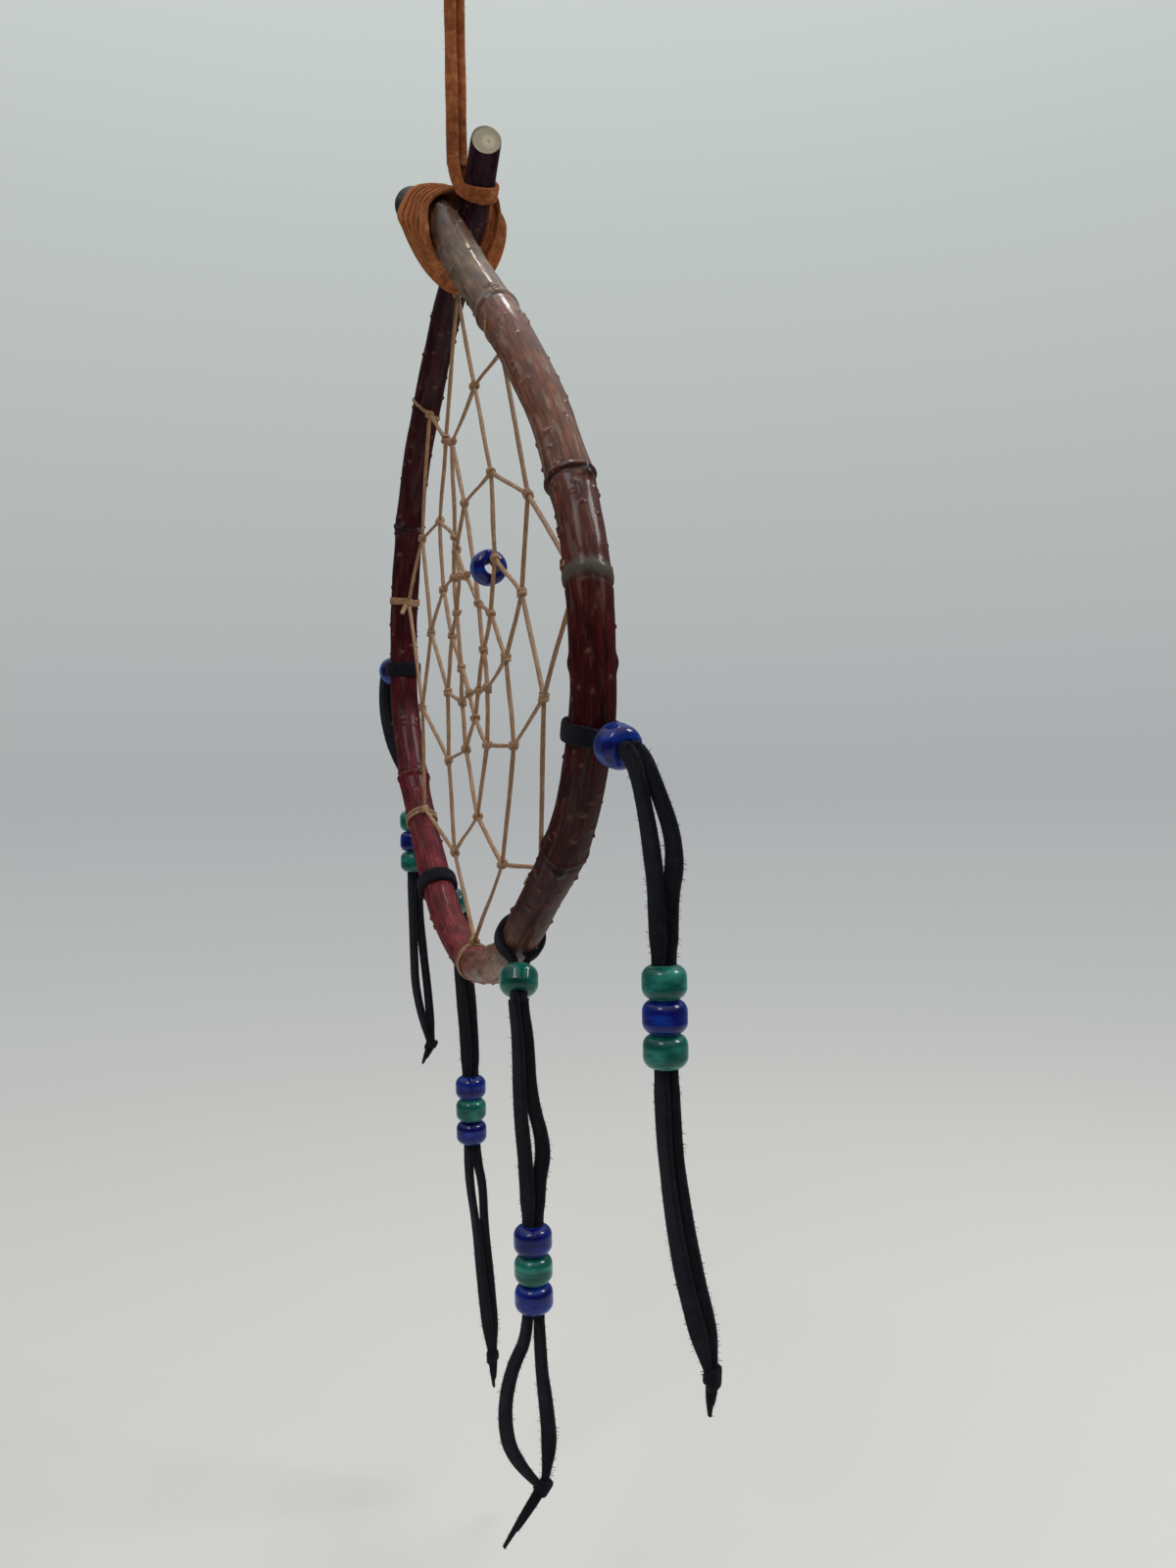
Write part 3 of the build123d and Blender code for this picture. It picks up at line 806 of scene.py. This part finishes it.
def web_knot(build, centre, axis, seed, size):
    """Two tight turns of thread round the thread that they hold."""
    chance = random.Random(seed)
    axis = unit(axis)
    eighths = np.arange(int(KNOT_TURNS * 8) + 1)
    angle = chance.uniform(0, 6) + eighths / 8 * 2 * math.pi
    swell = 1 + 0.12 * np.array([chance.uniform(-1, 1) for _ in eighths])
    reach = KNOT_REACH * size * MM * swell
    shift = (eighths / (KNOT_TURNS * 8) - 0.5) * KNOT_LENGTH * size * MM
    points = coil(centre, axis, unit(np.cross(axis, (0, 1, 0))), angle, reach, shift)
    line, run = route(points, 0.35)
    wide = 0.95 * size * MM
    build.lace(line, run, [axis], rounded_section(wide, wide * 0.85, 8, 2.4))


def twig_wrap(build, share, turns, pitch, slant, width, tail=()):
    """Thread turned round the twig, side by side. Gives its knot and the twig's direction."""
    i = twig_index(share)
    centre, along = TWIG_LINE[i], TWIG_TANGENT[i]
    inward = square_to(along, MIDDLE * MM - centre)
    place = np.linspace(-0.5, 0.5, int(turns * 16) + 1)
    angle = place * turns * 2 * math.pi
    shift = (place * pitch + slant * np.sin(angle)) * MM
    points = coil(centre, along, inward, angle, twig_radius(share) + 0.35 * MM, shift)
    line, run = route([*points, *(points[-1] + np.array(step) * MM for step in tail)], 0.6)
    out = square_to(along, line - centre)
    across = unit(np.cross(unit(np.gradient(line, axis=0)), out))
    section = rounded_section(width * MM, 0.55 * MM, *THREAD_OUTLINE)
    build.sweep(line, run, across, out, section)
    return centre + inward * (twig_radius(share) + 0.9 * MM), along


def knot_axis(knot):
    """Across the line from a knot to the hoop's middle, in the web's plane."""
    return np.cross(MIDDLE * MM - knot, (0, 1, 0))


def web_pieces():
    wraps = Build()
    hung_from = []
    for number, (share, sizes) in enumerate(zip(HITCHES, WRAPS)):
        tail = HITCH_TAIL if number == TAILED_HITCH else ()
        knot, along = twig_wrap(wraps, share, *sizes, tail)
        web_knot(wraps, knot, along, 50 + number, 1.4)
        hung_from.append(knot)
    wraps.piece("web_wraps", "hoop", "thread", "web_hitches")

    for number, corners in enumerate(WEB_KNOTS):
        build = Build()
        lows = [(np.array((across, 0, up)) + MIDDLE) * MM for across, up in corners]
        for index, low in enumerate(lows):
            other = index + 1 if HANGS_AHEAD[number] else index - 1
            for high in (hung_from[index], hung_from[other % len(hung_from)]):
                run_between(build, high, low, number * 100 + index * 2 + int(high[0] * 1e6) % 2)
            if number > 0:
                high = hung_from[index]
                web_knot(build, high, knot_axis(high), number * 10 + index, 1.3)
        build.piece(f"web_thread_{number + 1}", "hoop", "thread", f"web_round_{number + 1}")
        hung_from = lows

    build = Build()
    for index, knot in enumerate(hung_from):
        run_between(build, hung_from[index - 1], knot, 600 + index)
        web_knot(build, knot, knot_axis(knot), 700 + index, 1.25)
    build.piece("web_thread_6", "hoop", "thread", "web_round_6")


# ---- pendants ----
def lace_knot(build, centre, axis, radius, turns, pitch, width, depth, seed):
    """A few tight slanting turns of lace, with both ends tucked in. Sizes in millimetres."""
    axis = unit(np.array(axis, float))
    place = np.arange(int(turns * 12) + 1)
    angle = seed + place / 12 * 2 * math.pi
    reach = np.full(len(place), radius * MM)
    reach[[0, -1]] *= 0.45
    shift = ((place / place[-1] - 0.5) * turns + 0.25 * np.sin(angle)) * pitch * MM
    points = coil(centre, axis, unit(np.cross(axis, (0.3, 1, 0.2))), angle, reach, shift)
    line, run = route(points, 0.4)
    wide = width * MM + wavering(run, 0.3 * MM, 5 * MM, seed)
    tangent = unit(np.gradient(line, axis=0))
    across = unit(np.cross(tangent, square_to(axis, line - centre)))
    section = rounded_section(wide, depth * MM, 14, 3.5)
    return build.sweep(line, run, across, np.cross(across, tangent), section), line


def bead_squeezed(free, full_width, full_depth):
    """A lace's width and depth, in metres: squeezed in a bead's bore and full where free."""
    width = BORE_WIDTH + (full_width - BORE_WIDTH) * free
    return width * MM, (BORE_DEPTH + (full_depth - BORE_DEPTH) * free) * MM


def loop_piece(name, i, drop, apart):
    """One flat lace from the cinch bead round the twig and back into the bead."""
    attach = TWIG_LINE[i]
    reach = twig_radius(PENDANTS[name]["at"]) / MM + 0.25 + WRAP_DEPTH / 2
    points = []
    for side in (-1, 1):
        legs = (LEGS_END - 0.2, 1), (CINCH_GATE + 3, 1), (CINCH_GATE - 0.4, 1.1)
        sideways = apart * side * STRAND_OFFSET
        leg = [attach + (drop * far + sideways * wider) * MM for far, wider in legs]
        ring = [
            attach + around(drop, apart * side, math.radians(turn)) * reach * MM
            for turn in range(24, 181 if side < 0 else 170, 13)
        ]
        points = leg + ring if side < 0 else points + ring[::-1] + leg[::-1]
    line, run = route(points, 0.5)
    far = (line - attach) @ drop / MM
    free = smooth((CINCH_GATE + 0.5 - far) / 5)
    free += 0.8 * smooth((far - CINCH_GATE - BEAD_HEIGHT) / 1.2)
    wide, deep = bead_squeezed(free, LOOP_WIDTH, WRAP_DEPTH + 0.2)
    wide += wavering(run, 0.15 * MM, 6 * MM, i)
    names = f"{name}_loop_lace", f"{name}_loop", "suede_black", f"{name}_loop"
    suede_piece(names, line, run, [TWIG_TANGENT[i]], (wide, deep), (90, i, 0.6))


def strand_piece(name, k, i, drop, apart):
    """One of the two strands, from the cinch bead through the stack to the end knot."""
    attach, pendant = TWIG_LINE[i], PENDANTS[name]
    sideways = (-1, 1)[k] * STRAND_OFFSET
    stack, knot = np.array(pendant["stack"]), np.array(pendant["knot"])
    aside = np.array((0, sideways, 0))
    points = [drop * (LEGS_END + more) + apart * sideways for more in (-1.5, 0.2)]
    points += pendant["upper"][k]
    points += [stack + aside + np.array((0, 0, pendant["above"][k]))]
    points += [stack + aside - np.array((0, 0, STACK_HEIGHT + pendant["below"][k]))]
    points += pendant["lower"][k]
    points += [knot + aside * 0.35]
    line, run = route(attach + np.array(points) * MM, 0.5)
    height = (line[:, 2] - attach[2]) / MM - stack[2]
    beyond = np.maximum(height, -STACK_HEIGHT - height)
    free = smooth((beyond - 1.5) / 4)
    wide, deep = bead_squeezed(free, LACE_WIDTH, LACE_DEPTH)
    wide += wavering(run, 0.25 * MM, 9 * MM, i + k) * free
    wide *= 0.45 + 0.55 * smooth((run[-1] - run) / (11 * MM))  # drawn together at the knot
    facings = pendant.get("facings", STRAND_FACINGS)
    letter = "ab"[k]
    names = f"{name}_lace_{letter}", f"{name}_strands", "suede_black", f"{name}_strand_{letter}"
    hairs = (800, i * 2 + k, 1.35)
    return suede_piece(names, line, run, facings, (wide, deep), hairs), line


def end_knot_piece(name, i, apart):
    """The knot under the stack, and its two tails."""
    attach, pendant = TWIG_LINE[i], PENDANTS[name]
    knot = attach + np.array(pendant["knot"]) * MM
    tail = attach + np.array(pendant["tail"]) * MM
    build = Build()
    rings, line = lace_knot(build, knot, tail - knot, 1.35, 1.6, 1.5, 2.2, 1.2, i * 0.7)
    build.fuzz(rings, line, 60, i + 9, 0.8)
    for side, share in ((-1, 1.0), (1, 0.72)):
        bend = apart * side * 0.5 * MM
        end = knot + (tail - knot) * share + bend * 0.5
        line, run = route([knot, (knot + tail) / 2 + bend, end], 0.4)
        narrow = 1 - 0.65 * run / run[-1]
        section = rounded_section(2.6 * MM * narrow, 1.3 * MM * narrow)
        rings = build.lace(line, run, [CAMERA_ACROSS, (1, 0.3, 0)], section)
        build.fuzz(rings, line, 50, i + 20 + side, 0.8)
    return build.piece(f"{name}_knot_lace", f"{name}_strands", "suede_black", f"{name}_end_knot")


def pendant_pieces(name):
    pendant = PENDANTS[name]
    i = twig_index(pendant["at"])
    drop = square_to(TWIG_TANGENT[i], np.array(pendant["drop"]))
    apart = square_to(drop, np.array((0, 1, 0)))
    loop_piece(name, i, drop, apart)
    strands = [strand_piece(name, k, i, drop, apart) for k in (0, 1)]
    end_knot = end_knot_piece(name, i, apart)


# ---- lashing ----
# The lace goes round both ends of the twig where they cross, over the thick end and under the
# thin one. The first turn lies nearest the cut end and the last one furthest from it.
LASH_TURNS = 6
LASH_FIRST = 6  # the stop below at which the lace starts, out of sight behind the twigs
LASH_STOPS = [  # end of the twig, outward (back, up), across and rise at (last, first), width
    ("thick", (0.35, 1.0), (-15.5, -9.0), (1.6, 2.8), 5.0),
    ("thick", (-0.6, 0.8), (-16.5, -3.0), (0.9, 1.5), 5.2),
    ("thick", (-1.0, 0.1), (-17.0, 5.0), (1.2, 1.0), 5.2),
    ("thick", (-1.0, -0.6), (-17.5, 13.0), (4.2, -0.5), 6.2),
    ("thin", (-0.9, -0.9), (-20.0, -18.5), (3.2, 0.8), 5.2),
    ("thin", (0.1, -1.0), (-19.0, -22.0), (3.0, 0.8), 4.4),
    ("thin", (0.85, -0.6), (-14.5, -15.0), (4.4, 1.2), 4.2),
    ("thin", (1.0, 0.3), (-8.0, -7.0), (6.6, 1.4), 5.2),
    ("thin", (0.5, 0.9), (-6.0, -3.0), (5.8, 1.4), 5.0),
    ("thin", (-0.4, 1.0), (-7.0, -4.0), (3.6, 1.2), 4.8),
]
BAND_OUTLINE = (18, 5)  # points round the hanger's lace where it is wound, and how square it is
STUB_TURN_ACROSS = -0.6  # where the hanger's lace goes under the thin end, from the middle
STUB_TURN_DEGREES = 270


def twig_across(end, across):
    """Where one end of the twig passes a distance across from the hoop's middle."""
    first, last = (0, twig_index(0.2)) if end == "thick" else (twig_index(0.8), len(TWIG_LINE))
    away = TWIG_LINE[first:last, 0] - (MIDDLE[0] + across) * MM
    return first + int(np.argmin(np.abs(away)))


def lash_spot(stop, share, along=0.0, rise=0.0):
    """A point of the lace and the twig's direction there. Share is 0 at the last turn."""
    end, (back, up), places, rises, _ = stop
    i = twig_across(end, places[0] + (places[1] - places[0]) * share + along)
    out = square_to(TWIG_TANGENT[i], np.array((0, back, up)))
    reach = twig_radius(i / len(TWIG_LINE)) / MM + rises[0] + (rises[1] - rises[0]) * share + rise
    return TWIG_LINE[i] + out * reach * 1.05 * MM, TWIG_TANGENT[i]


def band(points, facings, widths, waver=0.0):
    """A wound lace's line with its facings and widths, which change from point to point."""
    line = spline_line(points)
    last = len(points) - 1
    place = np.linspace(0.5, last - 0.5, len(line))
    facing = interpolated(place, range(last + 1), facings)
    wide = np.interp(place, np.linspace(0, last, len(widths)), widths)
    wide *= 1 + np.array([waver * noise.noise(Vector((p * 0.21, 3, 0))) for p in place])
    return line, distances(line), facing, wide


def lashing_piece():
    wound = LASH_TURNS * len(LASH_STOPS)
    points, facings, widths = [], [], []
    for step in range(wound + 4):
        share = 0.9 - 0.8 * min(step / wound, 1)
        stop = LASH_STOPS[(step + LASH_FIRST) % len(LASH_STOPS)]
        tuck = max(1 - step, step - wound, 0)  # both ends go under a turn
        spot, tangent = lash_spot(stop, share, tuck * 1.5 if share < 0.5 else -tuck, -0.6 * tuck)
        fan = lash_spot(stop, 1)[0] - lash_spot(stop, 0)[0]  # the turns lie on a cone
        points.append(spot)
        facings.append(unit(fan + tangent * 3.5 * MM))
        widths.append(stop[4] * MM)
    line, run, facing, wide = band(points, facings, widths, waver=0.14)
    names = ("lashing_lace", "hoop", "lace_tan", "lashing")
    outline = (wide, WRAP_DEPTH * MM, *BAND_OUTLINE)
    suede_piece(names, line, run, facing, outline, (1100, 5, 0.7), tilt=0.16)


def stub_piece():
    """The hanger's lace comes down in front, goes under the thin end and up behind it."""
    i = twig_across("thin", STUB_TURN_ACROSS)
    centre, along = TWIG_LINE[i], TWIG_TANGENT[i]
    reach = twig_radius(i / len(TWIG_LINE)) + 0.9 * MM
    front = square_to(along, np.array((0, -1, 0)))
    under = np.cross(front, along)
    under = under if under[2] < 0 else -under
    points = [np.array(spot) * MM for spot in ((0.35, -1.2, -76.5), (0.5, -1.15, -79.5))]
    facings = [CAMERA_ACROSS, CAMERA_ACROSS]
    for turn in range(0, STUB_TURN_DEGREES + 1, 30):
        out = around(front, under, math.radians(turn))
        shift = (turn / STUB_TURN_DEGREES - 0.6) * 1.2 * MM
        points.append(centre + out * reach + along * shift)
        facings.append(unit(along + CAMERA_ACROSS * max(0, 1.5 - turn / 40)))
    points += [np.array(spot) * MM for spot in ((-1.8, 2.4, -81.5), (-0.7, 1.4, -76))]
    facings += [along, CAMERA_ACROSS]
    widths = np.interp(range(len(points)), (0, 2, 5, len(points)), (3.2, 3.3, 4.1, 3.4)) * MM
    line, run, facing, wide = band(points, facings, widths)
    names = ("stub_lace", "hoop", "lace_tan", "stub_turn")
    suede_piece(names, line, run, facing, (wide, 1.35 * MM, *BAND_OUTLINE), (90, 8, 0.5))


# ---- hanger ----
HALF_LOOP = [(-1.4, -25), (-7, -17.5), (-10, -7), (-5.5, 1.3)]
HANGER_PLACES = [(0.4, -1.2), (-0.7, 1.35)]  # of the two strands: across, back


def hanger_pieces():
    facings = [(0.6, 0.8, 0), CAMERA_ACROSS, CAMERA_ACROSS]
    for k, (across, back) in enumerate(HANGER_PLACES):
        points = [(0, back * 0.9, -31.5)]
        points += [(across, back, -45), (across, back, -62), (across * 0.6, back, -78.5)]
        line, run = route(np.array(points) * MM, 0.6)
        wide = HANGER_WIDTH * MM + wavering(run, 0.3 * MM, 12 * MM, k)
        names = f"hanger_lace_{'ab'[k]}", "hoop", "lace_tan", f"hanger_strand_{'ab'[k]}"
        outline = (wide, HANGER_DEPTH * MM)
        strand = suede_piece(names, line, run, facings, outline, (90, 70 + k, 0.6))

    points = [(0, y, z) for y, z in HALF_LOOP] + [(0, -y, z) for y, z in reversed(HALF_LOOP)]
    line, run = route(np.array(points) * MM, 0.6)
    names = ("hanger_loop_lace", "hanger", "lace_tan", "hanging_loop")
    outline = (3.0 * MM, HANGER_DEPTH * MM)
    loop = suede_piece(names, line, run, [(1, 0, 0)], outline, (90, 75, 0.6))

    low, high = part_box("hanger_knot")
    build = Build()
    middle = np.array((low + high) / 2)
    rings, knot_line = lace_knot(build, middle, (0.1, 0.1, 1), 2.9, 2.4, 2.4, 3.2, 1.6, 0.4)
    build.fuzz(rings, knot_line, 60, 77, 0.6)
    knot = build.piece("hanger_knot_lace", "hanger", "lace_tan", "hanger_knot")


# ---- beads ----
def paint_beads():
    colours = {"web_bead": BLUE}
    for name in PENDANTS:
        outer = name in ("right", "left")
        colours[f"{name}_cinch_bead"] = BLUE if outer else GREEN
        for number in (1, 2, 3):
            middle = number == 2
            colours[f"{name}_bead_{number}"] = BLUE if middle == outer else GREEN
    for node, material in colours.items():
        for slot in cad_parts[node].material_slots:
            slot.material = material


# ---- stage and light ----
FLOOR_DROP = 0.035  # metres below the lowest tail
FLOOR_REACH = 0.9  # metres from its middle to its faded edge
FLOOR_RINGS, FLOOR_SIDES = 12, 64


def make_stage():
    centre = (cad_low + cad_high) / 2
    turns = [k / FLOOR_SIDES * 2 * math.pi for k in range(FLOOR_SIDES)]
    reaches = [FLOOR_REACH * (r + 1) / FLOOR_RINGS for r in range(FLOOR_RINGS)]
    points = [(0, 0, 0)] + [(math.cos(a) * r, math.sin(a) * r, 0) for r in reaches for a in turns]
    faces = cap_faces(0, 1, FLOOR_SIDES) + flipped(band_faces(FLOOR_RINGS, FLOOR_SIDES), 1)
    mesh = bpy.data.meshes.new("floor")
    mesh.from_pydata(points, [], faces)
    floor = placed("floor", mesh)
    floor.location = (centre.x, centre.y, cad_low.z - FLOOR_DROP)

    s = Shader("floor")
    far = s.length(s.node("TexCoord").outputs["Object"])
    fade = s.ramp(s.maths("DIVIDE", far, FLOOR_REACH), (0.25, 1.0), (0.95, 0.0))
    s.set(Base_Color=srgb(232, 231, 227), Roughness=0.9, Specular_IOR_Level=0.1, Alpha=fade)
    mesh.materials.append(s.material)


BACKDROP = [  # height, colour
    (0.0, srgb(214, 213, 209)), (0.3, srgb(196, 197, 196)), (0.5, srgb(170, 173, 174)),
    (0.8, srgb(190, 196, 194)), (1.0, srgb(214, 220, 216)),
]
# Rises are between two heights, -1 straight down and 1 straight up, and from value to value.
BACKDROP_RISE = (-0.7, 0.7, 0.0, 1.0)
SKY_RISE = (-0.2, 0.9, 0.1, 0.55)  # what lights the object
CEILING_RISE = (0.35, 0.95, 0.1, 1.1)  # what shiny surfaces reflect


def make_world():
    """The camera sees the backdrop, and the object is lit by a plain sky."""
    world = bpy.data.worlds.new("studio")
    bpy.context.scene.world = world
    world.use_nodes = True
    w = Nodes(world.node_tree)
    w.tree.nodes.clear()
    path = w.node("LightPath").outputs
    up = w.node("SeparateXYZ", w.node("TexCoord").outputs["Generated"]).outputs[2]
    backdrop = w.ramp(w.node("MapRange", up, *BACKDROP_RISE).outputs[0], *BACKDROP)
    sky = w.node("MapRange", up, *SKY_RISE, interpolation_type="SMOOTHSTEP")
    ceiling = w.node("MapRange", up, *CEILING_RISE)
    strength = w.node("Mix", path["Is Glossy Ray"])
    w.fill(strength, A=sky.outputs[0], B=ceiling.outputs[0])
    light = w.node("Background", (1, 1, 1, 1), strength.outputs[0]).outputs[0]
    shown = w.node("Background", backdrop).outputs[0]
    seen = w.maths("MAXIMUM", path["Is Camera Ray"], path["Is Transmission Ray"])
    w.node("OutputWorld", w.node("MixShader", seen, light, shown).outputs[0])


LAMPS = [  # place in metres, width, watts, colour
    ((0.5, -0.6, 0.6), 0.4, 2.6, (1.0, 1.0, 0.99)),
    ((0.35, 0.7, 0.5), 0.3, 3.8, (1.0, 1.0, 0.99)),
    ((-0.18, 0.1, 0.62), 0.12, 0.7, (0.97, 0.99, 1.0)),
]


def make_lamps():
    target = (cad_low + cad_high) / 2
    for number, (place, width, watts, colour) in enumerate(LAMPS):
        data = bpy.data.lights.new(f"lamp_{number}", "AREA")
        data.size = width
        data.energy = watts
        data.color = colour
        lamp = placed(f"lamp_{number}", data)
        lamp.location = place
        lamp.rotation_euler = (target - lamp.location).to_track_quat("-Z", "Y").to_euler()


make_camera()
hanger_pieces()
for pendant_name in PENDANTS:
    pendant_pieces(pendant_name)
twig_piece()
web_pieces()
lashing_piece()
stub_piece()
paint_beads()
make_stage()
make_world()
make_lamps()
bpy.context.scene.view_settings.view_transform = "Standard"
